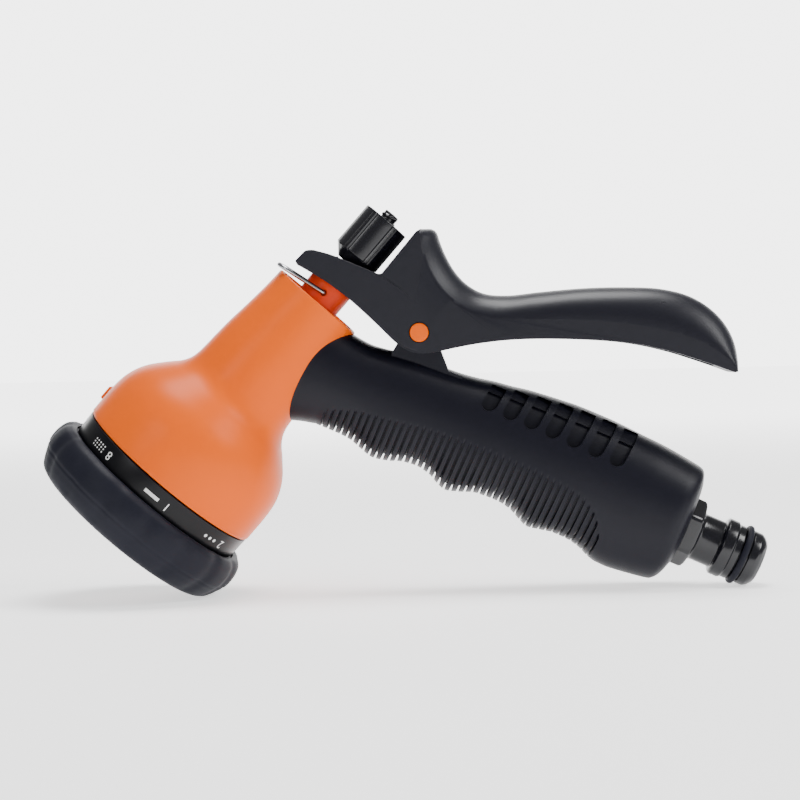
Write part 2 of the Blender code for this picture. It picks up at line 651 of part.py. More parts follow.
def water_way(grip):
    pipe = tube_profile(6.2, NIPPLE_BORE, -128.0, SPIGOT_END - GAP, 0.3)
    turned("water_pipe", grip, pipe, NATURAL, 0.5, sides=24)
    obj = turned("hose_connector", grip, NIPPLE_PROFILE, BLACK, 0.3, sides=28)
    hexagon = cylinder_mesh("hex_block", HEX_R, HEX_TOP - HEX_FOOT, (0, 0, (HEX_TOP + HEX_FOOT) / 2), sides=6)
    boolean(obj, add_cutter("hex_block", hexagon, grip), "UNION")
    bore = cylinder_mesh("nipple_bore", NIPPLE_BORE, 60.0, (0, 0, -10.0), sides=SIDES)
    boolean(obj, add_cutter("nipple_bore", bore, grip))
    turned("connector_oring", grip, oring_profile(8.25, 0.82, 4.8, 6), RUBBER, 0.5, sides=28)
    mesh = turned("inlet_filter", grip, rod_profile(4.3, -31.6, -30.4), STEEL, 0.35, 1.0, sides=24)
    holes = [
        cylinder_mesh("hole", 0.45, 4.0, (x * 1.7, y * 1.7, -31.0), sides=6)
        for x in range(-2, 3) for y in range(-2, 3) if x * x + y * y < 5
    ]
    boolean(mesh, add_cutter("filter_holes", joined("filter_holes", holes), grip))


def build():
    root = frame("stand", STAND_X, STAND_Z)
    head = frame("head_axis", *HEAD_ORIGIN, HEAD_LEAN, root)
    grip = frame("grip_axis", *GRIP_ORIGIN, GRIP_LEAN, root)
    pivot = frame("pivot_axis", *PIVOT, 0.0, root)
    crossing = frame("crossing", 0.0, 0.0, 0.0, grip)
    crossing.location = (0.0, 0.0, -142.1 * MM)
    head_shell(head, crossing)
    selector(head)
    stator(head)
    face_fixings(head)
    valve(head, crossing)
    spring_shelf(head)
    sleeve_and_clip(head)
    knob(head)
    lever(pivot, head)
    grip_shell(grip, head, pivot)
    grip_pad(grip)
    water_way(grip)


build()
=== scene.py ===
"""Looks of the hose spray nozzle: smooth surfaces, materials, light and camera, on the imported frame."""

import json
import math

import bmesh
import bpy
from mathutils import Matrix, Vector


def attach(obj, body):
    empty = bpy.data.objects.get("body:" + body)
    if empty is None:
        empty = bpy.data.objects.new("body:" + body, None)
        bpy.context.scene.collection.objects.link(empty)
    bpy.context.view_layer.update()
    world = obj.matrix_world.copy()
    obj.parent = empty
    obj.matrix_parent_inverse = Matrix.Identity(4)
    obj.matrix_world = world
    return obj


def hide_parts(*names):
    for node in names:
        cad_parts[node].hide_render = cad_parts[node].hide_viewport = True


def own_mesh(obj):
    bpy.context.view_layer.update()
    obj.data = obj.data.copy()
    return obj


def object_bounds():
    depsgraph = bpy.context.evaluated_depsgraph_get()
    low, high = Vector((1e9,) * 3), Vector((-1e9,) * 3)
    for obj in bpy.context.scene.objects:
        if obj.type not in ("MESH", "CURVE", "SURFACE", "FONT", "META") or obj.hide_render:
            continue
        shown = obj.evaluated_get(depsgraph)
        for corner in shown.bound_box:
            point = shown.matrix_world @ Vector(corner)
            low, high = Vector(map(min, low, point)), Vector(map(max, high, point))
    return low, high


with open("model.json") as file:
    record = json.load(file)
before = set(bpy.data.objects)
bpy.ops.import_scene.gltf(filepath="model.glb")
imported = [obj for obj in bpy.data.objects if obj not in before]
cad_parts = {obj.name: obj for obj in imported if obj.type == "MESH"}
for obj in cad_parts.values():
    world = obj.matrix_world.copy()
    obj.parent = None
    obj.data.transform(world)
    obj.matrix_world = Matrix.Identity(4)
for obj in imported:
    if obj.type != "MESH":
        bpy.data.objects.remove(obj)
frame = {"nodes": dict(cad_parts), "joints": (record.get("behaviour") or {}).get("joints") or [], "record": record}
cad_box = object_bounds()

MM = 0.001
JOINTS = {joint["name"]: joint for joint in frame["joints"]}
MOUNTS = {mount["name"]: mount for mount in frame["record"]["mounts"]}
ACROSS = Vector((0.0, 1.0, 0.0))


def axes_at(origin, axis):
    """Millimetres in a local frame to the row frame: local Z along axis, local Y across the nozzle."""
    z = Vector(axis).normalized()
    x = ACROSS.cross(z).normalized()
    turn = Matrix((x, ACROSS, z)).transposed().to_4x4()
    return Matrix.Translation(Vector(origin)) @ turn @ Matrix.Diagonal((MM, MM, MM, 1.0))


# the head: Z up the stem from the spray face, 0 where the pattern ring meets the bell
HEAD = axes_at(JOINTS["selector_turn"]["pos_m"], JOINTS["selector_turn"]["axis"])
# the lever: the row frame's directions, 0 on the pin
PIVOT = Matrix.Translation(Vector(JOINTS["trigger_hinge"]["pos_m"])) @ Matrix.Diagonal((MM, MM, MM, 1.0))
# the grip: Z towards the hose, X down to the fingers. The mount is off its axis and past its zero
NIPPLE_MOUNT = (-5.3, 10.7)
GRIP = axes_at(MOUNTS["nipple_end"]["pos_m"], MOUNTS["nipple_end"]["axis"])
GRIP = GRIP @ Matrix.Translation((-NIPPLE_MOUNT[0], 0.0, -NIPPLE_MOUNT[1]))


# ------------------------------------------------------------ materials


MOTTLE_SIZE = 140.0
GRAIN_HEIGHT = 0.00005


def material(name, colour, rough, metal=0.0, grain=0.0, grain_size=9000.0, mottle=0.0, shine=0.5):
    """A plain surface with fine moulded grain, and a little unevenness in its gloss."""
    made = bpy.data.materials.new(name)
    made.use_nodes = True
    tree = made.node_tree
    shader = tree.nodes["Principled BSDF"]
    shader.inputs["Base Color"].default_value = (*colour, 1.0)
    shader.inputs["Roughness"].default_value = rough
    shader.inputs["Metallic"].default_value = metal
    shader.inputs["Specular IOR Level"].default_value = shine
    place = tree.nodes.new("ShaderNodeTexCoord")
    if mottle:
        cloud = tree.nodes.new("ShaderNodeTexNoise")
        cloud.inputs["Scale"].default_value = MOTTLE_SIZE
        cloud.inputs["Detail"].default_value = 5.0
        spread = tree.nodes.new("ShaderNodeMapRange")
        spread.inputs["To Min"].default_value = rough - mottle
        spread.inputs["To Max"].default_value = rough + mottle
        tree.links.new(place.outputs["Object"], cloud.inputs["Vector"])
        tree.links.new(cloud.outputs["Fac"], spread.inputs["Value"])
        tree.links.new(spread.outputs["Result"], shader.inputs["Roughness"])
    if grain:
        noise = tree.nodes.new("ShaderNodeTexNoise")
        noise.inputs["Scale"].default_value = grain_size
        noise.inputs["Detail"].default_value = 2.0
        bump = tree.nodes.new("ShaderNodeBump")
        bump.inputs["Strength"].default_value = grain
        bump.inputs["Distance"].default_value = GRAIN_HEIGHT
        tree.links.new(place.outputs["Object"], noise.inputs["Vector"])
        tree.links.new(noise.outputs["Fac"], bump.inputs["Height"])
        tree.links.new(bump.outputs["Normal"], shader.inputs["Normal"])
    made.diffuse_color = (*colour, 1.0)
    return made


ORANGE = material(
    "orange_gloss", (0.80, 0.112, 0.0), 0.34, grain=0.12, grain_size=5200.0, mottle=0.04, shine=0.1
)
RED_ORANGE = material("red_orange", (0.72, 0.045, 0.002), 0.38, grain=0.1, shine=0.15)
BLACK = material(
    "black_satin", (0.0048, 0.0049, 0.0098), 0.38, grain=0.5, grain_size=7000.0, mottle=0.04, shine=0.2
)
BLACK_LEVER = material(
    "black_lever", (0.0034, 0.0035, 0.0085), 0.40, grain=0.4, grain_size=7000.0, shine=0.34
)
GLOSS = material("black_gloss", (0.0035, 0.0036, 0.0062), 0.2, grain=0.1, mottle=0.04)
RING = material("ring_black", (0.0025, 0.0025, 0.0038), 0.28, grain=0.15, shine=0.22)
RUBBER = material(
    "rubber", (0.0072, 0.0078, 0.0145), 0.54, grain=0.5, grain_size=4200.0, mottle=0.05, shine=0.16
)
WHITE = material("mark_white", (0.82, 0.82, 0.82), 0.45)
NATURAL = material("natural_plastic", (0.74, 0.74, 0.7), 0.45, grain=0.1)
STEEL = material("steel", (0.56, 0.57, 0.59), 0.28, 1.0, grain=0.1)
WIRE = material("wire_bright", (0.42, 0.42, 0.44), 0.24, 1.0)
BRASS = material("brass", (0.72, 0.5, 0.18), 0.3, 1.0)


# ------------------------------------------------------------ shape helpers

SHARP = 35.0  # edges that bend more than this, in degrees, stay sharp
RIM_BEND = math.radians(50)

def smooth_line(points, spacing=0.5):
    """Points spaced along a smooth curve through the ones given."""
    pts = [Vector(p) for p in points]
    pts = [pts[0] * 2 - pts[1], *pts, pts[-1] * 2 - pts[-2]]
    out = []
    for p0, p1, p2, p3 in zip(pts, pts[1:], pts[2:], pts[3:]):
        d0, d1, d2 = ((b - a).length ** 0.5 for a, b in ((p0, p1), (p1, p2), (p2, p3)))
        m1 = (p1 - p0) / d0 - (p2 - p0) / (d0 + d1) + (p2 - p1) / d1
        m2 = (p2 - p1) / d1 - (p3 - p1) / (d1 + d2) + (p3 - p2) / d2
        parts = max(1, math.ceil((p2 - p1).length / spacing))
        for n in range(parts):
            t = n / parts
            out.append(
                (2 * t**3 - 3 * t**2 + 1) * p1 + (t**3 - 2 * t**2 + t) * d1 * m1
                + (3 * t**2 - 2 * t**3) * p2 + (t**3 - t**2) * d1 * m2
            )
    out.append(pts[-2])
    return out


def by_length(points, count):
    """The line's points again, evenly spaced."""
    run = [0.0]
    for a, b in zip(points, points[1:]):
        run.append(run[-1] + (b - a).length)
    out = []
    k = 0
    for n in range(count):
        at = run[-1] * n / (count - 1)
        while k < len(run) - 2 and run[k + 1] < at:
            k += 1
        share = (at - run[k]) / max(1e-9, run[k + 1] - run[k])
        out.append(points[k].lerp(points[k + 1], share))
    return out


def value_at(table, at):
    """A smooth value from (place, size) rows along an axis."""
    if at <= table[0][0]:
        return table[0][1]
    if at >= table[-1][0]:
        return table[-1][1]
    k = max(n for n, row in enumerate(table) if row[0] <= at)
    near = [table[max(0, min(len(table) - 1, n))] for n in (k - 1, k, k + 1, k + 2)]
    x, y = zip(*near)
    wide = x[2] - x[1]
    slope = (y[2] - y[1]) / wide
    before = (y[1] - y[0]) / (x[1] - x[0]) if x[1] > x[0] else slope
    after = (y[3] - y[2]) / (x[3] - x[2]) if x[3] > x[2] else slope
    m1 = 0.0 if before * slope <= 0 else 2 * before * slope / (before + slope)
    m2 = 0.0 if after * slope <= 0 else 2 * after * slope / (after + slope)
    t = (at - x[1]) / wide
    return (
        (2 * t**3 - 3 * t**2 + 1) * y[1] + (t**3 - 2 * t**2 + t) * wide * m1
        + (3 * t**2 - 2 * t**3) * y[2] + (t**3 - t**2) * wide * m2
    )


def step(low, high, at):
    """0 below low, 1 above high, and a smooth rise between."""
    t = max(0.0, min(1.0, (at - low) / (high - low)))
    return t * t * (3 - 2 * t)


def hump(at, middle, wide):
    """1 at the middle, falling smoothly to 0 on both sides."""
    return math.exp(-(((at - middle) / wide) ** 2))


def placed(made, place):
    """The same bmesh, moved by a matrix."""
    bmesh.ops.transform(made, matrix=place, verts=made.verts)
    return made


def ended(made, name):
    """A bmesh turned into a mesh."""
    mesh = bpy.data.meshes.new(name)
    made.to_mesh(mesh)
    made.free()
    return mesh


def piece(name, made, place, finish, body, nodes=(), sharp=SHARP):
    """A bmesh in a local frame as a shown object in the row frame."""
    return mesh_piece(name, ended(placed(made, place), name), finish, body, nodes, sharp)


def mesh_piece(name, mesh, finish, body, nodes=(), sharp=SHARP):
    """A mesh as a shown object that rides on a body and stands for the named nodes."""
    mesh.shade_smooth()
    mesh.set_sharp_from_angle(angle=math.radians(sharp))
    obj = bpy.data.objects.new(name, mesh)
    bpy.context.scene.collection.objects.link(obj)
    mesh.materials.append(finish)
    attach(obj, body)
    if nodes:
        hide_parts(*nodes)
    return obj


def ring_mesh(rings, caps=False, loop=False):
    """Faces between rings of points that follow each other."""
    made = bmesh.new()
    rows = [[made.verts.new(point) for point in ring] for ring in rings]
    pairs = list(zip(rows, rows[1:]))
    if loop:
        pairs.append((rows[-1], rows[0]))
    count = len(rows[0])
    for low, high in pairs:
        for k in range(count):
            n = (k + 1) % count
            made.faces.new((low[k], low[n], high[n], high[k]))
    if caps:
        made.faces.new(rows[0][::-1])
        made.faces.new(rows[-1])
    return made


FLAT_WEIGHT = 80


def even_shading(obj):
    """Keeps broad flat sides flat beside their small rounded edges."""
    modifier = obj.modifiers.new("even", "WEIGHTED_NORMAL")
    modifier.keep_sharp = True
    modifier.weight = FLAT_WEIGHT


def outward(made):
    """The same closed bmesh, with its faces pointing out."""
    if made.calc_volume(signed=True) < 0:
        bmesh.ops.reverse_faces(made, faces=made.faces)
    return made


def round_angles(count):
    """Angles evenly spaced round a circle."""
    return [2 * math.pi * k / count for k in range(count)]


def revolve(profile, sides=128, radius=None):
    """A turned shape from (radius, height) points. radius(angle, r, h) may wave it."""
    on_axis = profile[0][0] == 0 and profile[-1][0] == 0
    rings = []
    for r, h in profile[1:-1] if on_axis else profile:
        ring = []
        for a in round_angles(sides):
            wide = radius(a, r, h) if radius else r
            ring.append((wide * math.cos(a), wide * math.sin(a), h))
        rings.append(ring)
    return outward(ring_mesh(rings, caps=on_axis, loop=not on_axis))


def rounded(corners, default=0.25, parts=4):
    """A closed outline with its corners rounded. A corner is (x, y) or (x, y, radius)."""
    out = []
    count = len(corners)
    for k, corner in enumerate(corners):
        here = Vector(corner[:2])
        size = corner[2] if len(corner) > 2 else default
        before = Vector(corners[k - 1][:2]) - here
        after = Vector(corners[(k + 1) % count][:2]) - here
        size = min(size, before.length * 0.48, after.length * 0.48)
        if size == 0:
            out.append(here)
            continue
        a = here + before.normalized() * size
        b = here + after.normalized() * size
        for n in range(parts + 1):
            t = n / parts
            out.append(a * (1 - t) ** 2 + here * 2 * t * (1 - t) + b * t * t)
    return out


def sweep(path, radius, sides=12):
    """A round wire along a line of points."""
    rings = []
    side = None
    for k, here in enumerate(path):
        along = (path[min(k + 1, len(path) - 1)] - path[max(k - 1, 0)]).normalized()
        if side is None:
            side = along.orthogonal().normalized()
        side = (side - along * side.dot(along)).normalized()
        up = along.cross(side)
        rings.append([
            here + side * radius * math.cos(a) + up * radius * math.sin(a) for a in round_angles(sides)
        ])
    return outward(ring_mesh(rings, caps=True))


def bevelled(made, edges, size):
    """The same bmesh with those edges rounded."""
    bmesh.ops.bevel(
        made, geom=edges, offset=size, segments=3, profile=0.5, affect="EDGES", clamp_overlap=True
    )
    return made


def plate(outline, half, bevel):
    """A flat outline in the XZ plane, thickened each way along Y, with rounded edges."""
    made = bmesh.new()
    front = [made.verts.new((p[0], -half, p[1])) for p in outline]
    back = [made.verts.new((p[0], half, p[1])) for p in outline]
    count = len(outline)
    made.faces.new(front)
    made.faces.new(back[::-1])
    for k in range(count):
        n = (k + 1) % count
        made.faces.new((front[n], front[k], back[k], back[n]))
    outward(made)
    return bevelled(made, [edge for edge in made.edges if edge.calc_face_angle(0) > RIM_BEND], bevel)


def merged(parts):
    """Several bmeshes as one."""
    whole = bmesh.new()
    for part in parts:
        mesh = ended(part, "part")
        whole.from_mesh(mesh)
        bpy.data.meshes.remove(mesh)
    return whole


def block(size, centre, bevel):
    """A box with rounded edges."""
    made = bmesh.new()
    bmesh.ops.create_cube(made, size=1.0)
    bmesh.ops.scale(made, vec=Vector(size), verts=made.verts)
    bmesh.ops.bevel(made, geom=made.edges[:], offset=bevel, segments=3, profile=0.5, affect="EDGES")
    return placed(made, Matrix.Translation(Vector(centre)))


def cut_by(obj, made):
    """Takes a closed bmesh, placed in the row frame, away from an object."""
    mesh = ended(outward(made), "cutter")
    cutter = bpy.data.objects.new("cutter", mesh)
    bpy.context.scene.collection.objects.link(cutter)
    modifier = obj.modifiers.new("cut", "BOOLEAN")
    modifier.operation = "DIFFERENCE"
    modifier.solver = "EXACT"
    modifier.object = cutter
    bpy.context.view_layer.update()
    graph = bpy.context.evaluated_depsgraph_get()
    result = bpy.data.meshes.new_from_object(obj.evaluated_get(graph))
    obj.modifiers.remove(modifier)
    old = obj.data
    obj.data = result
    result.set_sharp_from_angle(angle=math.radians(SHARP))
    bpy.data.objects.remove(cutter)
    bpy.data.meshes.remove(old)
    bpy.data.meshes.remove(mesh)


def cut_holes(obj, place, radius, spans):
    """Drills round holes between pairs of distances along a frame's local Y."""
    drills = []
    turn = Matrix.Rotation(math.radians(90), 4, "X")
    for low, high in spans:
        drill = bmesh.new()
        bmesh.ops.create_cone(
            drill, cap_ends=True, segments=32, radius1=radius, radius2=radius, depth=high - low,
            matrix=Matrix.Translation((0, (low + high) / 2, 0)) @ turn,
        )
        drills.append(drill)
    cut_by(obj, placed(merged(drills), place))


# ------------------------------------------------------------ head

BELL_LINE = [
    (14.15, 65.4), (14.2, 64.0), (14.6, 58.0), (15.2, 52.0), (15.9, 46.0), (16.35, 40.0), (16.6, 35.5),
    (16.9, 32.5), (17.6, 30.0), (19.0, 27.7), (21.2, 25.4), (23.4, 23.0), (25.4, 20.6), (27.1, 17.8),
    (28.4, 14.4), (29.0, 11.0), (29.2, 7.0), (29.2, 0.5),
]
LIP_TOP = 66.4
HEAD_SIDES = 160
TAB_SIZE = (1.7, 4.4, 4.4)
TAB_PLACE = (-29.1, 0.0, 6.2)


def head_shell():
    """The bell and neck, open inside, with the small tab over the pattern in use."""
    outside = smooth_line(BELL_LINE, 0.7)
    lip = [(13.0, 65.1), (13.05, LIP_TOP - 0.25), (13.3, LIP_TOP), (13.8, LIP_TOP), (14.1, LIP_TOP - 0.3)]
    inside = [
        (28.9, 0.05), (26.7, 0.05), (26.6, 9.0), (25.6, 14.0), (22.4, 20.0), (17.4, 25.0), (14.0, 29.0),
        (11.6, 33.0), (11.6, 63.0), (7.1, 63.0), (7.1, 64.9), (7.4, 65.1),
    ]
    made = revolve([*lip, *outside, *inside], HEAD_SIDES)
    tab = block(TAB_SIZE, TAB_PLACE, 0.45)
    piece("bell", merged([made, tab]), HEAD, ORANGE, "body", ["head_shell"], sharp=40)


PATTERNS = 8
RING_RADIUS = 29.0
RING_TAPER = 0.4
RING_TALL = 7.0
MARK_START = math.radians(-83.5)
MARK_MIDDLE = -3.75
MARK_LIFT = 0.03
MARK_THICK = 0.02
NUMERAL_SIZE = 3.6
NUMERAL_SHIFT = -3.9
ICON_SHIFT = 1.6


def ring_radius(h):
    """The pattern ring narrows a little towards the bumper."""
    return RING_RADIUS - RING_TAPER * max(0.0, min(1.0, -h / RING_TALL))


def wrapped_mark(made, turn):
    """Bends flat marks, drawn in x and y, round the pattern ring at that angle."""
    for vert in made.verts:
        x, y, z = vert.co
        h = MARK_MIDDLE - y
        r = ring_radius(h) + MARK_LIFT + z
        a = turn - x / RING_RADIUS
        vert.co = (r * math.cos(a), r * math.sin(a), h)
    return made


def text_mesh(text, size):
    """A flat word or number, centred."""
    curve = bpy.data.curves.new("mark", "FONT")
    curve.body = text
    curve.size = size
    curve.align_x = "CENTER"
    curve.align_y = "CENTER"
    holder = bpy.data.objects.new("mark", curve)
    bpy.context.scene.collection.objects.link(holder)
    bpy.context.view_layer.update()
    graph = bpy.context.evaluated_depsgraph_get()
    mesh = bpy.data.meshes.new_from_object(holder.evaluated_get(graph))
    bpy.data.objects.remove(holder)
    bpy.data.curves.remove(curve)
    made = bmesh.new()
    made.from_mesh(mesh)
    bpy.data.meshes.remove(mesh)
    return made


def flat_dot(x, y, r, sides=16):
    """A flat round mark."""
    made = bmesh.new()
    centre = Matrix.Translation((x, y, 0))
    bmesh.ops.create_circle(made, cap_ends=True, segments=sides, radius=r, matrix=centre)
    return made


def flat_bar(x, y, wide, high, parts=8):
    """A flat oblong mark, divided so that it can bend."""
    made = bmesh.new()
    bmesh.ops.create_grid(made, x_segments=parts, y_segments=1, size=0.5)
    bmesh.ops.scale(made, vec=(wide, high, 1.0), verts=made.verts)
    bmesh.ops.translate(made, vec=(x, y, 0), verts=made.verts)
    return made


def pattern_ring():
    """The ring that is turned to choose a pattern."""
    outline = rounded([
        (ring_radius(-0.3), -0.35), (ring_radius(-RING_TALL), -7.1), (26.9, -7.1), (26.9, -2.4),
        (24.2, -2.4), (24.2, -0.35),
    ])
    made = revolve(outline, HEAD_SIDES)
    piece("selector_ring", made, HEAD, RING, "selector", ["pattern_ring"])


def pattern_marks():
    """A numeral and a plain icon of bars and dots for each pattern, printed round the ring."""
    icons = [
        [flat_bar(0, 0, 5.0, 1.0)],
        [flat_dot(x, 0, 0.5) for x in (-2.0, 0, 2.0)],
        [flat_dot(0, 0, 1.0, 24)],
        [flat_dot(x, y, 0.3) for x in (-2.1, -0.7, 0.7, 2.1) for y in (-0.75, 0.75)],
        [flat_bar(x, 0, 1.8, 1.0, 3) for x in (-1.6, 1.6)],
        [flat_dot(x, 0.0, 0.34) for x in (-2.4, -1.2, 0, 1.2, 2.4)],
        [flat_bar(0, y, 4.4, 0.5) for y in (0.8, -0.8)],
        [flat_dot(x, y, 0.26) for x in (-2.4, -1.2, 0, 1.2, 2.4) for y in (-0.9, 0, 0.9)],
    ]
    marks = []
    for k, (icon, turn) in enumerate(zip(icons, round_angles(PATTERNS))):
        numeral = text_mesh(str(k + 1), NUMERAL_SIZE)
        bmesh.ops.translate(numeral, vec=(NUMERAL_SHIFT, 0, 0), verts=numeral.verts)
        for shape in icon:
            bmesh.ops.translate(shape, vec=(ICON_SHIFT, 0, 0), verts=shape.verts)
        marks.append(wrapped_mark(merged([numeral, *icon]), MARK_START + turn))
    made = merged(marks)
    bmesh.ops.solidify(made, geom=made.faces[:], thickness=-MARK_THICK)
    piece("selector_marks", made, HEAD, WHITE, "selector", (), sharp=60)


BUMPER_LOBES = 16
LOBE_DEPTH = 0.5
LOBE_FADE = (29.4, 31.6)
GROOVE_AT = -15.1
GROOVE_WIDE = 0.35
GROOVE_DEEP = 0.22
GROOVE_INNER = 31


def bumper():
    """The rubber ring round the spray face, with soft lobes and a fine groove round it."""
    line = smooth_line([
        (31.4, -6.6), (32.6, -7.8), (33.4, -10.2), (33.58, -12.4), (33.35, -14.6), (32.5, -16.6),
        (31.7, -18.4), (30.4, -20.4), (28.6, -21.35), (27.6, -21.5),
    ], 0.45)
    close = [(26.7, -21.2), (26.45, -20.6), (26.45, -7.4), (29.3, -7.4), (29.35, -6.6), (30.4, -6.3)]

    def waved(a, r, h):
        """The radius with its lobes, and the groove on the outer side only."""
        lobe = 0.5 + 0.5 * math.cos(BUMPER_LOBES * a)
        reach = step(*LOBE_FADE, r)
        groove = GROOVE_DEEP * hump(h, GROOVE_AT, GROOVE_WIDE)
        return r - LOBE_DEPTH * reach * (1 - lobe) ** 3 - (groove if r > GROOVE_INNER else 0.0)

    made = revolve([*line, *close], 256, waved)
    piece("bumper", made, HEAD, RUBBER, "selector", ["bumper_ring"], sharp=50)


OUTLET_CIRCLE = 16.5


def outlet_collars():
    """Raised collars round the two large outlets of the spray face."""
    outline = rounded([(2.6, -18.5), (2.6, -19.3), (1.75, -19.3), (1.75, -18.5)], 0.2)
    collars = []
    for a in (0.0, math.pi):
        ring = revolve(outline, 32)
        place = (OUTLET_CIRCLE * math.cos(a), OUTLET_CIRCLE * math.sin(a), 0)
        bmesh.ops.translate(ring, vec=place, verts=ring.verts)
        collars.append(ring)
    piece("outlet_collars", merged(collars), HEAD, BLACK, "selector", ())


# ------------------------------------------------------------ stem, sleeve, clip, knob


THREAD_PITCH = 1.5
THREAD_LOW = 79.2
THREAD_HIGH = 99.1
THREAD_SIDES = 28  # sections in one turn
THREAD_SECTION = ((2.1, -0.62), (2.74, -0.18), (2.74, 0.18), (2.1, 0.62))
THREAD_END = 2.2  # the radius it runs out to


def stem():
    """The stem, with a real screw thread where it shows."""
    core = revolve(rounded([
        (0.0, 99.5, 0), (2.25, 99.5, 0.3), (2.25, 78.5, 0.2), (2.3, 78.4, 0), (2.3, 43.6, 0.2),
        (5.1, 43.0, 0.3), (5.1, 40.8, 0.3), (1.5, 40.8, 0.1), (1.5, 37.4, 0.1), (0.9, 36.9, 0),
        (0.0, 36.9, 0),
    ]), 48)
    count = int((THREAD_HIGH - THREAD_LOW) / THREAD_PITCH * THREAD_SIDES)
    rows = []
    for k in range(count + 1):
        a = 2 * math.pi * k / THREAD_SIDES
        h = THREAD_LOW + THREAD_PITCH * k / THREAD_SIDES
        fade = min(1.0, k / THREAD_SIDES, (count - k) / THREAD_SIDES)
        row = []
        for r, rise in THREAD_SECTION:
            wide = THREAD_END + (r - THREAD_END) * fade
            row.append((wide * math.cos(a), wide * math.sin(a), h + rise))
        rows.append(row)
    thread = outward(ring_mesh(rows, caps=True))
    piece("stem", merged([core, thread]), HEAD, GLOSS, "stem", ["stem_rod"])


CLIP_H = 69.4
CLIP_WIRE = 0.66
CLIP_HOLE = 0.95
CLIP_REACH = 15.1
CLIP_DROP = 2.1
CLIP_HALF = 7.55
CLIP_BEND = 3.4
CLIP_STEPS = 8


def sleeve():
    """The valve's sleeve, with a hole on each side for the clip's wire."""
    outline = rounded([(6.6, 74.0, 0.4), (6.6, 63.0, 0.3), (3.1, 63.0, 0.2), (3.1, 74.0, 0.2)])
    tube = revolve(outline, 96)
    obj = piece("sleeve", tube, HEAD, RED_ORANGE, "stem", ["stem_sleeve"])
    cut_holes(obj, HEAD @ Matrix.Translation((0, 0, CLIP_H)), CLIP_HOLE, [(-9.0, -3.4), (3.4, 9.0)])


def wire_clip():
    """A bent wire, both ends in the sleeve, that slopes down a little to the front."""
    corner = []
    for n in range(CLIP_STEPS + 1):
        a = math.pi / 2 * n / CLIP_STEPS
        x = -(CLIP_REACH - CLIP_BEND) - CLIP_BEND * math.sin(a)
        y = CLIP_HALF - CLIP_BEND + CLIP_BEND * math.cos(a)
        corner.append((x, y, CLIP_H + x * (CLIP_DROP / CLIP_REACH)))
    start = [
        (0.0, 4.7, CLIP_H), (0.0, CLIP_HALF - 0.9, CLIP_H), (-0.25, CLIP_HALF - 0.25, CLIP_H - 0.03),
        (-0.9, CLIP_HALF, CLIP_H - 0.12),
    ]
    line = start + corner
    path = line + [(x, -y, h) for x, y, h in reversed(line)]
    made = sweep(smooth_line(path), CLIP_WIRE, 16)
    piece("clip_wire", made, HEAD, WIRE, "clip", ["wire_clip"], sharp=60)


KNOB_FOOT = 83.3
KNOB_BORE = 4.5
KNOB_SIDES = 6
KNOB_FLAT = 0.045
KNOB_RIDGE = 0.35
KNOB_NICK = 0.3
KNOB_STEP = 1.2


def knob_radius(a, r, h):
    """Flat sides with a small ridge and two fine grooves at each corner, on the barrel only."""
    if h < KNOB_FOOT or r < KNOB_BORE:
        return r
    phase = (a / (2 * math.pi) * KNOB_SIDES) % 1.0
    near = min(phase, 1 - phase)
    flat = r * (1 - KNOB_FLAT + KNOB_FLAT * min(1.0, (abs(phase - 0.5) * 2) ** 2))
    ridge = KNOB_RIDGE * hump(near, 0.0, 0.035) - KNOB_NICK * hump(near, 0.085, 0.03)
    return min(r, flat + ridge * step(KNOB_FOOT, KNOB_FOOT + 0.7, h))


def knob():
    """The flow knob: a tapered skirt under a barrel."""
    outline = rounded([
        (3.2, 96.2, 0.2), (4.9, 96.4, 0.3), (5.4, 97.0, 0.3), (7.2, 97.0, 0.45), (7.25, 83.6, 0.15),
        (6.9, 83.2, 0.2), (4.3, 80.3, 0.3), (3.2, 80.3, 0.1),
    ])
    dense = []
    for a, b in zip(outline, [*outline[1:], outline[0]]):
        parts = max(1, int((b - a).length / KNOB_STEP))
        dense += [a.lerp(b, n / parts) for n in range(parts)]
    made = revolve(dense, 360, knob_radius)
    piece("knob", made, HEAD, GLOSS, "knob", ["flow_knob"], sharp=32)


# ------------------------------------------------------------ lever

LEVER_HALF = 9.4
LEVER_WALL = 2.2
LEVER_RIM = 0.45
LEVER_SECTIONS = 110
LEVER_ARC = 12  # steps from a crease to the top
UNDER_POINTS = 90
BROAD_FACE = 60  # a face with more corners than this is one of the two sides
CREASE_LEAN = math.radians(42.0)
CREASE_FADE = (16, 52)  # the sections between which the back becomes fully round
STEM_SLOT = (10.4, 6.6, 22.0)
STEM_SLOT_PLACE = (0.4, 0.0, 78.0)
LEVER_BACK = [
    (0.9, 29.9), (2.6, 29.95), (4.4, 29.8), (5.5, 28.9), (6.4, 26.2), (7.8, 22.5), (10.5, 17.5),
    (13.9, 13.7), (18.6, 11.0), (25.0, 10.2), (35.0, 11.0), (47.5, 11.8), (59.5, 11.8), (69.6, 11.1),
    (77.7, 8.9), (83.7, 5.2), (87.8, 0.7), (90.3, -4.3), (91.2, -9.2), (91.1, -11.8), (90.7, -12.9),
]
LEVER_CREASE = [
    (0.7, 29.3), (0.9, 26.5), (1.4, 23.0), (2.8, 18.0), (5.5, 13.0), (9.6, 8.6), (13.7, 5.9), (19.0, 4.0),
    (27.0, 3.2), (35.0, 3.0), (45.0, 2.7), (53.2, 2.1), (63.3, 0.6), (71.4, -1.2), (79.0, -3.8), (85.5, -7.6),
    (89.4, -11.2), (90.4, -13.2),
]
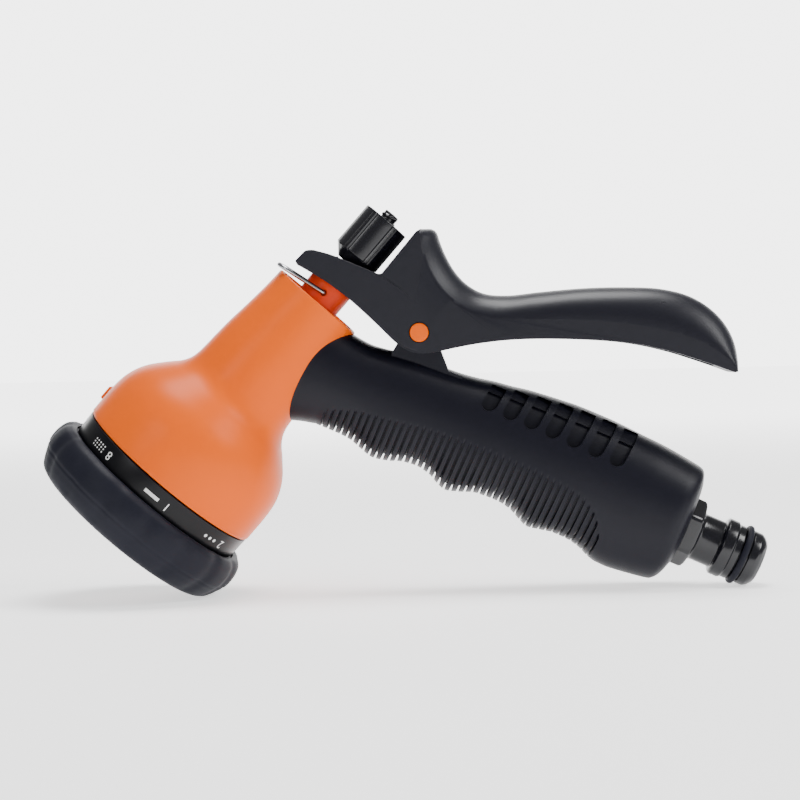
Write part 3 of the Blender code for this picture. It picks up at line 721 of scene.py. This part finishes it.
LEVER_UNDER = [
    (89.6, -13.4), (83.3, -11.0), (71.2, -6.9), (59.1, -4.2), (43.0, -2.8), (27.6, -2.6), (17.0, -3.5),
    (8.5, -4.9), (4.5, -5.7), (0.6, -6.0), (-3.0, -5.2), (-6.6, -2.8), (-12.0, 2.6), (-19.9, 10.1),
    (-27.0, 15.6), (-33.6, 19.7),
]
LEVER_ARM = [
    (-34.3, 20.0, 0.4), (-35.0, 21.3, 0.4), (-32.0, 24.2, 0.6), (-30.0, 24.4, 1.5), (-25.0, 23.0, 2.0),
    (-18.0, 20.0, 2.0), (-11.4, 17.0, 0.6), (-10.4, 17.0, 0.5), (-0.2, 28.9, 0.4),
]


LEVER_HOLLOW = [
    (-31.8, 10.0), (-31.8, 21.4), (-24.0, 19.8), (-14.0, 15.2), (-6.0, 12.0), (1.0, 9.4),
    (8.0, 8.8), (14.0, 8.4),
    (24.0, 6.8), (36.0, 7.8), (48.0, 8.5), (60.0, 8.4), (70.0, 7.4), (78.0, 4.4), (83.0, 0.0),
    (85.0, -5.0), (85.0, -20.0), (-10.0, -20.0),
]


PIN_HOLE = 2.95
PIN_RADIUS = 2.75
PIN_HALF = 9.36


def lever_section(k, top, low):
    """One arc across the lever's back, from the crease on one side to the crease on the other."""
    start = CREASE_LEAN * (1 - step(*CREASE_FADE, k))
    ring = []
    for n in range(2 * LEVER_ARC + 1):
        a = start + (math.pi - 2 * start) * n / (2 * LEVER_ARC)
        rise = (math.sin(a) - math.sin(start)) / (1 - math.sin(start))
        wide = math.cos(a) / math.cos(start)
        here = low.lerp(top, rise)
        ring.append((here.x, LEVER_HALF * wide, here.y))
    return ring


def lever_solid():
    """The lever before it is hollowed: a domed back, two flat sides and rounded rims."""
    back = by_length(smooth_line(LEVER_BACK, 0.6), LEVER_SECTIONS)
    crease = by_length(smooth_line(LEVER_CREASE, 0.6), LEVER_SECTIONS)
    under = by_length(smooth_line(LEVER_UNDER, 0.8), UNDER_POINTS)
    arm = rounded([(*LEVER_UNDER[-1], 0.3), *LEVER_ARM, (*LEVER_CREASE[0], 0.2)])[2:-2]
    made = bmesh.new()
    rows = []
    for k, (top, low) in enumerate(zip(back, crease)):
        rows.append([made.verts.new(point) for point in lever_section(k, top, low)])
    for low, high in zip(rows, rows[1:]):
        for a, b, c, d in zip(low, low[1:], high[1:], high):
            made.faces.new((a, b, c, d))
    sides = []
    for at, edge in ((0, 1), (-1, -1)):
        line = [made.verts.new((p.x, LEVER_HALF * edge, p.y)) for p in [*under, *arm]]
        loop = [row[at] for row in rows] + line
        made.faces.new(loop if edge < 0 else loop[::-1])
        sides.append(line)
    for k in range(len(sides[0]) - 1):
        made.faces.new((sides[0][k], sides[0][k + 1], sides[1][k + 1], sides[1][k]))
    made.faces.new((sides[0][-1], *rows[0], sides[1][-1]))
    made.faces.new((sides[0][0], *rows[-1], sides[1][0]))
    bmesh.ops.recalc_face_normals(made, faces=made.faces)
    outward(made)
    bevelled(made, [made.edges.get(pair) for line in sides for pair in zip(line, line[1:])], LEVER_RIM)
    broad = [face for face in made.faces if len(face.verts) > BROAD_FACE]
    bmesh.ops.triangulate(made, faces=broad, ngon_method="EAR_CLIP")
    return made


def lever():
    """The trigger lever, hollow underneath, slotted for the stem and drilled for its pin."""
    obj = piece(
        "lever", lever_solid(), PIVOT, BLACK_LEVER, "trigger", ["trigger_lever"], sharp=30
    )
    cut_by(obj, placed(plate(LEVER_HOLLOW, LEVER_HALF - LEVER_WALL, 0.8), PIVOT))
    cut_by(obj, placed(block(STEM_SLOT, STEM_SLOT_PLACE, 1.2), HEAD))
    cut_holes(obj, PIVOT, PIN_HOLE, [(-14.0, 14.0)])
    even_shading(obj)


PLATE_HALF = 0.3
PLATE_PROUD = 0.15
PLATE_SINK = 0.55
PLATE_FADE = (-9.0, 3.0)
ARM_PLATE = [
    (-33.5, 19.9, 0.4), (-34.9, 21.3, 0.4), (-32.0, 24.1, 0.6), (-30.0, 24.3, 1.5), (-25.0, 22.9, 2.0),
    (-11.6, 17.1, 1.0), (-4.6, 12.4, 3.0), (4.0, 5.0, 3.0), (6.0, 0.0, 2.5), (3.6, -4.6, 2.0),
    (-0.6, -5.4, 1.0), (-3.4, -4.4, 1.0), (-6.8, -2.2, 1.0), (-12.0, 2.9, 1.0), (-19.9, 10.3, 1.0),
    (-27.0, 15.8, 1.0),
]


def arm_plates():
    """The arm's own side plates, a little proud of the horn beside it."""
    parts = []
    for side in (-1, 1):
        made = plate(rounded(ARM_PLATE, parts=6), PLATE_HALF, 0.25)
        bmesh.ops.translate(made, vec=(0.0, side * (LEVER_HALF + PLATE_PROUD), 0.0), verts=made.verts)
        for vert in made.verts:
            vert.co.y -= side * PLATE_SINK * step(*PLATE_FADE, vert.co.x)
        parts.append(made)
    obj = piece(
        "arm_plates", merged(parts), PIVOT, BLACK_LEVER, "trigger", (), sharp=40
    )
    cut_holes(obj, PIVOT, PIN_HOLE, [(-14.0, 14.0)])
    even_shading(obj)


def pivot_pin():
    """The orange pin that the lever turns on."""
    ends = [(0.0, PIN_HALF, 0), (PIN_RADIUS, PIN_HALF, 0.35)]
    ends += [(PIN_RADIUS, -PIN_HALF, 0.35), (0.0, -PIN_HALF, 0)]
    made = revolve(rounded(ends), 64)
    bmesh.ops.rotate(made, verts=made.verts, matrix=Matrix.Rotation(math.radians(90), 3, "X"))
    piece("pin", made, PIVOT, ORANGE, "body", ["pivot_pin"])


# ------------------------------------------------------------ grip

GRIP_TOP = [
    (-133.0, 16.4), (-129.0, 15.5), (-125.0, 14.6), (-121.0, 13.9), (-117.0, 13.6), (-113.0, 14.0),
    (-108.0, 14.9), (-102.0, 15.5), (-96.0, 15.8), (-90.0, 16.2), (-85.0, 16.9), (-80.0, 17.9),
    (-75.0, 18.6), (-70.0, 19.5), (-65.0, 20.1), (-60.0, 20.6), (-55.0, 21.0), (-50.0, 21.1),
    (-45.0, 21.1), (-40.0, 20.9), (-35.0, 20.6), (-30.0, 20.4), (-25.0, 20.0), (-20.0, 19.4),
    (-17.0, 19.0), (-15.3, 18.6), (-14.4, 17.9), (-13.8, 16.5),
]
GRIP_FOOT = [
    (-133.0, 17.0), (-129.0, 15.6), (-126.0, 14.7), (-122.0, 14.0), (-116.0, 13.9), (-112.0, 14.2),
    (-108.0, 15.4), (-104.0, 16.4), (-100.0, 15.7), (-95.0, 14.0), (-91.0, 13.6), (-87.0, 14.3),
    (-84.0, 15.7), (-81.0, 16.7), (-77.0, 15.6), (-72.0, 13.9), (-66.0, 13.6), (-62.0, 14.2),
    (-58.0, 15.9), (-55.0, 17.0), (-51.0, 16.3), (-47.0, 15.6), (-43.0, 15.7), (-39.0, 16.5),
    (-35.8, 17.8), (-33.0, 18.5), (-30.0, 18.6), (-25.0, 18.1), (-20.0, 17.4), (-17.0, 16.8),
    (-15.6, 15.6), (-14.6, 13.9), (-13.8, 11.6),
]
GRIP_HALF = [
    (-133.0, 11.3), (-122.0, 11.5), (-110.0, 11.9), (-98.0, 12.4), (-86.0, 13.0), (-74.0, 13.7),
    (-62.0, 14.3), (-50.0, 14.9), (-40.0, 15.1), (-30.0, 15.2), (-24.0, 15.0), (-18.5, 14.7),
    (-16.2, 14.0), (-14.8, 12.8), (-13.8, 11.0),
]
RIBS_UPPER = [
    (-124.0, 9.6), (-121.0, 8.2), (-117.0, 6.6), (-111.0, 4.6), (-102.0, 3.4), (-94.0, 1.8),
    (-87.0, 1.1), (-79.0, 0.6), (-71.0, 0.4), (-62.0, 0.4), (-55.0, 0.8), (-49.0, 1.1), (-46.0, 1.5),
    (-43.0, 2.6), (-40.0, 4.4), (-37.5, 7.4), (-35.6, 11.0), (-34.6, 14.0),
]
RIB_PITCH = 1.98
RIB_START = -122.0
RIB_COUNT = 44
RIB_STATIONS = (0.0, 0.14, 0.26, 0.31, 0.355, 0.40, 0.5, 0.60, 0.645, 0.69, 0.74, 0.86)
RIB_BARE = 0.9  # spacing of the sections before the ribs
RIBS_END = -34.0
RIB_EDGE = (0.20, 0.38)
RIBS_FADE = (-0.2, 2.2)
RIB_SHALLOW = 0.7
RIB_DEEPER = 1.2
GRIP_POWER = 2.3
GRIP_END = -13.8
GRIP_STEP = 0.7
GRIP_NEAR_END = -17.5
GRIP_END_STEP = 0.25
GRIP_CLOSING = ((0.93, -13.45), (0.84, -13.4))
MOUTH_RADIUS = 10.4
MOUTH_H = -13.4
HEAD_CORE = 12.6
SLOTS = 7
SLOT_FIRST = -78.2
SLOT_PITCH = 6.63
SLOT_HALF = 2.2
SLOT_LOW = 11.6
SLOT_LEAN = 0.13
SLOT_DEEP = 2.9
SLOT_SHELF = 2.1
SLOT_SPLIT = 0.55  # where its ledge lies, from its lower end to its upper
SLOT_STEPS = 10
SLOT_TOP = 0.93  # a share of the grip's own height, which grows from slot to slot
SLOT_TOP_RISE = 0.008
SLOT_INNER = 0.6  # the least distance from the middle of the grip to a slot's floor
SLOT_OUTER = 3.0
LEDGE_HALF = 0.05


def grip_point(h, a):
    """The grip's surface at a height and an angle from its foot, before ribs: (down, across)."""
    top, foot, half = (value_at(table, h) for table in (GRIP_TOP, GRIP_FOOT, GRIP_HALF))
    across = math.copysign(abs(math.sin(a)) ** (2 / GRIP_POWER), math.sin(a))
    down = math.copysign(abs(math.cos(a)) ** (2 / GRIP_POWER), math.cos(a))
    return (foot if down > 0 else top) * down, half * across


def groove_depth(h, x):
    """How deep the grip is cut between its ribs at a place down its side."""
    if not RIB_START - 1.0 < h < RIB_START + RIB_PITCH * (RIB_COUNT - 0.35):
        return 0.0
    inside = step(*RIBS_FADE, x - value_at(RIBS_UPPER, h))
    phase = ((h - RIB_START) / RIB_PITCH) % 1.0
    groove = 1 - step(*RIB_EDGE, abs(phase - 0.5) * 2)
    deep = RIB_SHALLOW + RIB_DEEPER * step(2.0, 13.0, x)
    return inside * groove * deep * step(RIB_START - 2.5, RIB_START + 7.0, h)


def slot_cutter(side, k):
    """What one recess on the grip's shoulder takes away: a pocket, round at its lower end, with a ledge."""
    at = SLOT_FIRST + SLOT_PITCH * k
    top, half = value_at(GRIP_TOP, at), value_at(GRIP_HALF, at)
    upper = top * (SLOT_TOP + SLOT_TOP_RISE * k)
    ledge = SLOT_LOW + (upper - SLOT_LOW) * SLOT_SPLIT
    stations = []
    for n in range(1, SLOT_STEPS + 1):
        a = math.pi / 2 * n / SLOT_STEPS
        stations.append((SLOT_LOW - SLOT_HALF * math.cos(a), SLOT_HALF * math.sin(a), SLOT_DEEP))
    spans = ((SLOT_LOW + 0.1, ledge - LEDGE_HALF, SLOT_DEEP), (ledge + LEDGE_HALF, upper, SLOT_SHELF))
    for low, high, deep in spans:
        stations += [(low + (high - low) * n / 6, SLOT_HALF, deep) for n in range(7)]
    rings = []
    for up, wide, deep in stations:
        flank = half * max(0.0, 1 - (up / top) ** GRIP_POWER) ** (1 / GRIP_POWER)
        inner, outer = max(flank - deep, SLOT_INNER), flank + SLOT_OUTER
        middle = at + SLOT_LEAN * (up - upper)
        corners = ((inner, -1), (inner, 1), (outer, 1), (outer, -1))
        rings.append([(-up, side * y, middle + wide * edge) for y, edge in corners])
    return outward(ring_mesh(rings, caps=True))


def grip_angles():
    """Angles round the grip from its foot, closer together where the ribs fade out."""
    half = []
    for low, high, parts in ((0, 75, 34), (75, 118, 26), (118, 180, 24)):
        half += [math.radians(low + (high - low) * n / parts) for n in range(parts)]
    return [*half, math.pi, *(2 * math.pi - a for a in reversed(half[1:]))]


def grip_heights():
    """Heights of the grip's sections: several to each rib, and close together at the hose end."""
    heights = []
    at = RIB_START - RIB_BARE * 12
    while at < GRIP_END:
        if RIB_START - 0.01 <= at < RIBS_END:
            heights += [at + RIB_PITCH * share for share in RIB_STATIONS]
            at += RIB_PITCH
            continue
        heights.append(at)
        if at < RIB_START:
            at += RIB_BARE
        else:
            at += GRIP_STEP if at < GRIP_NEAR_END else GRIP_END_STEP
    return [*heights, GRIP_END]


def grip_section(h):
    """One closed section of the grip, with its ribs cut into the lower half."""
    ring = []
    for a in grip_angles():
        x, y = grip_point(h, a)
        if x > -1.0:
            cut = groove_depth(h, x)
            size = math.hypot(x, y)
            x, y = x - x / size * cut, y - y / size * cut
        ring.append((x, y, h))
    return ring


def grip():
    """The grip, its end rounded in to the connector, and cut for the head and the shoulder recesses."""
    rings = [grip_section(h) for h in grip_heights()]
    end = rings[-1]
    for share, h in GRIP_CLOSING:
        rings.append([(x * share, y * share, h) for x, y, _ in end])
    mouth = [(MOUTH_RADIUS * math.cos(a), MOUTH_RADIUS * math.sin(a), MOUTH_H) for a in grip_angles()]
    rings.append(mouth)
    rings.append([(x * 0.985, y * 0.985, MOUTH_H - 1.0) for x, y, _ in mouth])
    made = outward(ring_mesh(rings, caps=True))
    obj = piece(
        "grip", made, GRIP, BLACK, "body", ["grip_shell", "grip_pad"], sharp=48
    )
    core = revolve([(0.0, 80.0), (HEAD_CORE, 80.0), (HEAD_CORE, 10.0), (0.0, 10.0)], 96)
    slots = merged([slot_cutter(side, k) for side in (-1, 1) for k in range(SLOTS)])
    cut_by(obj, merged([placed(core, HEAD), placed(slots, GRIP)]))


BRACKET_HALF = 6.4


def bracket():
    """The block that carries the pin, standing on the grip, with its gusset."""
    outline = rounded([
        (-4.6, 1.8, 1.6), (-5.6, -1.6, 1.0), (-8.0, -5.6, 0.3), (-8.6, -9.6, 0.2), (0.0, -17.0, 0),
        (13.0, -19.0, 0), (12.0, -12.8, 0.3), (8.2, -11.3, 0.6), (6.0, -5.2, 0.5), (4.6, 1.8, 1.6),
        (0.0, 4.2, 2.0),
    ])
    made = plate(outline, BRACKET_HALF, 0.35)
    piece("bracket", made, PIVOT, BLACK, "body", ())


# ------------------------------------------------------------ hose connector

HEX_CORNER = 10.1
HEX_FLAT = 9.0
HEX_BORE = 7.6
HEX_STEPS = 120
HEX_RINGS = ((-13.6, 1.0), (-10.3, 1.0), (-9.7, 0.965), (-9.4, 0.9))
SEAL_RADIUS = 8.15
SEAL_H = 4.8
SEAL_OUT = 0.82
SEAL_HALF = 0.95


def hexagon():
    """The spanner flats, their corners turned down and their upper edge chamfered."""
    turns = round_angles(HEX_STEPS)
    rings = []
    for h, share in HEX_RINGS:
        ring = []
        for a in turns:
            flat = HEX_FLAT / math.cos(a % (math.pi / 3) - math.pi / 6)
            wide = min(flat * (0.5 + 0.5 * share), HEX_CORNER * share)
            ring.append((wide * math.cos(a), wide * math.sin(a), h))
        rings.append(ring)
    for h in (HEX_RINGS[-1][0], HEX_RINGS[0][0]):
        rings.append([(HEX_BORE * math.cos(a), HEX_BORE * math.sin(a), h) for a in turns])
    return outward(ring_mesh(rings, loop=True))


def connector():
    """The quick-connect nipple, its hexagon and its rubber ring."""
    outline = rounded([
        (6.2, 10.7, 0.5), (7.5, 9.5, 0.5), (8.1, 8.4, 0.3), (8.1, 6.25, 0.2), (7.2, 6.2, 0.1),
        (7.2, 3.4, 0.1), (8.1, 3.35, 0.2), (8.1, 1.6, 0.2), (8.65, 1.0, 0.25), (8.65, -1.8, 0.3),
        (7.9, -2.4, 0.3), (7.0, -2.6, 0.3), (7.0, -8.6, 0.5), (7.9, -9.5, 0.3), (7.9, -13.0, 0.1),
        (7.9, -31.4, 0.4), (4.62, -31.9, 0.1), (4.62, 9.4, 0.3), (5.4, 10.7, 0.3),
    ])
    made = merged([revolve(outline), hexagon()])
    piece("connector", made, GRIP, GLOSS, "body", ["hose_connector"])
    seal = revolve([
        (SEAL_RADIUS + SEAL_OUT * math.cos(a), SEAL_H - SEAL_HALF * math.sin(a)) for a in round_angles(20)
    ])
    piece("connector_seal", seal, GRIP, RUBBER, "body", ["connector_oring"])


# ------------------------------------------------------------ springs

# the coil's node, its joint, its lower and upper ends in the head's frame, and how far it is pressed
SPRINGS = [
    ("valve_spring", "trigger_hinge", 43.4, 57.7, 6.5),
    ("detent_spring", "detent_slide", -9.3, -4.8, 1.0),
]


def spring(name, joint, low, high, travel):
    """The solid model's own coil, copied as it stands and shown in steel."""
    node = frame["nodes"][name]
    mesh = node.data.copy()
    mesh.transform(node.matrix_world)
    mesh.materials.clear()
    shown = mesh_piece(name + "_coil", mesh, STEEL, "body", [name], sharp=60)
    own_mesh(shown)


# ------------------------------------------------------------ what stays CAD


def paint_cad():
    """Finishes on the solid model's own pieces, by the record's material slots."""
    finishes = {
        "natural_plastic": NATURAL, "spring_steel": STEEL, "brass": BRASS, "black_rubber": RUBBER,
        "black_plastic": BLACK, "gloss_black_plastic": GLOSS, "orange_plastic": ORANGE,
        "red_orange_plastic": RED_ORANGE, "bright_wire": WIRE,
    }
    slots = {part["node"]: part["material_slot"] for part in frame["record"]["subparts"]}
    for name, obj in frame["nodes"].items():
        for held in obj.material_slots:
            held.material = finishes[slots[name]]


# ------------------------------------------------------------ room

FLOOR_HALF = 6.0
FLOOR_GAP = 0.0001
FLOOR_GLOW = 1.0
FLOOR_FAR = 3.6
FLOOR_BETWEEN = (0.15, 1.6)
SKY_ROUND = 0.32
SKY_BEHIND = 4.6
SKY_BETWEEN = (0.72, 0.95)
LIGHTS = [
    ("overhead", (0.05, 0.10, 0.95), 0.50, 10.5),
    ("key", (-0.50, -0.75, 0.50), 0.35, 1.8),
    ("right", (0.75, -0.25, 0.62), 0.40, 5.0),
]
LIT_PLACE = (0, 0, 0.05)


def floor_material():
    """White that glows more with distance, so that the floor meets the bright wall of the sky."""
    made = material("floor_white", (0.92, 0.92, 0.92), 0.9)
    inputs = made.node_tree.nodes["Principled BSDF"].inputs
    inputs["Emission Color"].default_value = (1.0, 1.0, 1.0, 1.0)
    brighten(
        made.node_tree, "Object", FLOOR_BETWEEN, (FLOOR_GLOW, FLOOR_FAR), inputs["Emission Strength"]
    )
    return made


def room():
    """A plain white floor, the sky and the lamps."""
    mesh = bpy.data.meshes.new("floor")
    corners = [(x * FLOOR_HALF, y * FLOOR_HALF, 0) for x, y in ((-1, -1), (1, -1), (1, 1), (-1, 1))]
    mesh.from_pydata(corners, [], [(0, 1, 2, 3)])
    mesh.materials.append(floor_material())
    floor = bpy.data.objects.new("floor", mesh)
    bpy.context.scene.collection.objects.link(floor)
    floor.location.z = cad_box[0][2] - FLOOR_GAP
    bpy.context.scene.world = sky()
    for row in LIGHTS:
        area_light(*row)


def brighten(tree, space, between, values, socket):
    """Runs a strength smoothly from one value to another along Y."""
    place = tree.nodes.new("ShaderNodeTexCoord")
    parts = tree.nodes.new("ShaderNodeSeparateXYZ")
    spread = tree.nodes.new("ShaderNodeMapRange")
    spread.interpolation_type = "SMOOTHSTEP"
    for name, value in zip(("From Min", "From Max", "To Min", "To Max"), (*between, *values)):
        spread.inputs[name].default_value = value
    tree.links.new(place.outputs[space], parts.inputs["Vector"])
    tree.links.new(parts.outputs["Y"], spread.inputs["Value"])
    tree.links.new(spread.outputs["Result"], socket)


def sky():
    """Even white all round, and a brighter patch behind the nozzle."""
    world = bpy.data.worlds.new("white_room")
    world.use_nodes = True
    tree = world.node_tree
    inputs = tree.nodes["Background"].inputs
    inputs["Color"].default_value = (1.0, 1.0, 1.0, 1.0)
    brighten(tree, "Generated", SKY_BETWEEN, (SKY_ROUND, SKY_BEHIND), inputs["Strength"])
    return world


def area_light(name, at, size, power):
    """A round lamp that faces the nozzle."""
    data = bpy.data.lights.new(name, "AREA")
    data.shape = "DISK"
    data.size = size
    data.energy = power
    obj = bpy.data.objects.new(name, data)
    bpy.context.scene.collection.objects.link(obj)
    obj.location = at
    obj.rotation_euler = (Vector(LIT_PLACE) - Vector(at)).to_track_quat("-Z", "Y").to_euler()


LENS = 94.5
CAMERA_YAW = 1.9
CAMERA_RISE = 1.3
CAMERA_ROLL = -1.3
CAMERA_AWAY = 0.609
CAMERA_AIM = (-0.0008, 0.0, 0.0556)


def camera():
    """The camera, by its angles round the point it aims at."""
    data = bpy.data.cameras.new("camera")
    data.lens = LENS
    data.sensor_width = 36.0
    obj = bpy.data.objects.new("camera", data)
    bpy.context.scene.collection.objects.link(obj)
    yaw, rise = math.radians(CAMERA_YAW), math.radians(CAMERA_RISE)
    back = Vector((math.sin(yaw) * math.cos(rise), -math.cos(yaw) * math.cos(rise), math.sin(rise)))
    obj.location = Vector(CAMERA_AIM) + back * CAMERA_AWAY
    turn = (-back).to_track_quat("-Z", "Y").to_matrix().to_4x4()
    roll = Matrix.Rotation(math.radians(CAMERA_ROLL), 4, "Z")
    obj.matrix_world = Matrix.Translation(obj.location) @ turn @ roll
    bpy.context.scene.camera = obj


paint_cad()
head_shell()
pattern_ring()
pattern_marks()
bumper()
outlet_collars()
stem()
sleeve()
wire_clip()
knob()
lever()
arm_plates()
pivot_pin()
grip()
bracket()
connector()
for row in SPRINGS:
    spring(*row)
room()
camera()
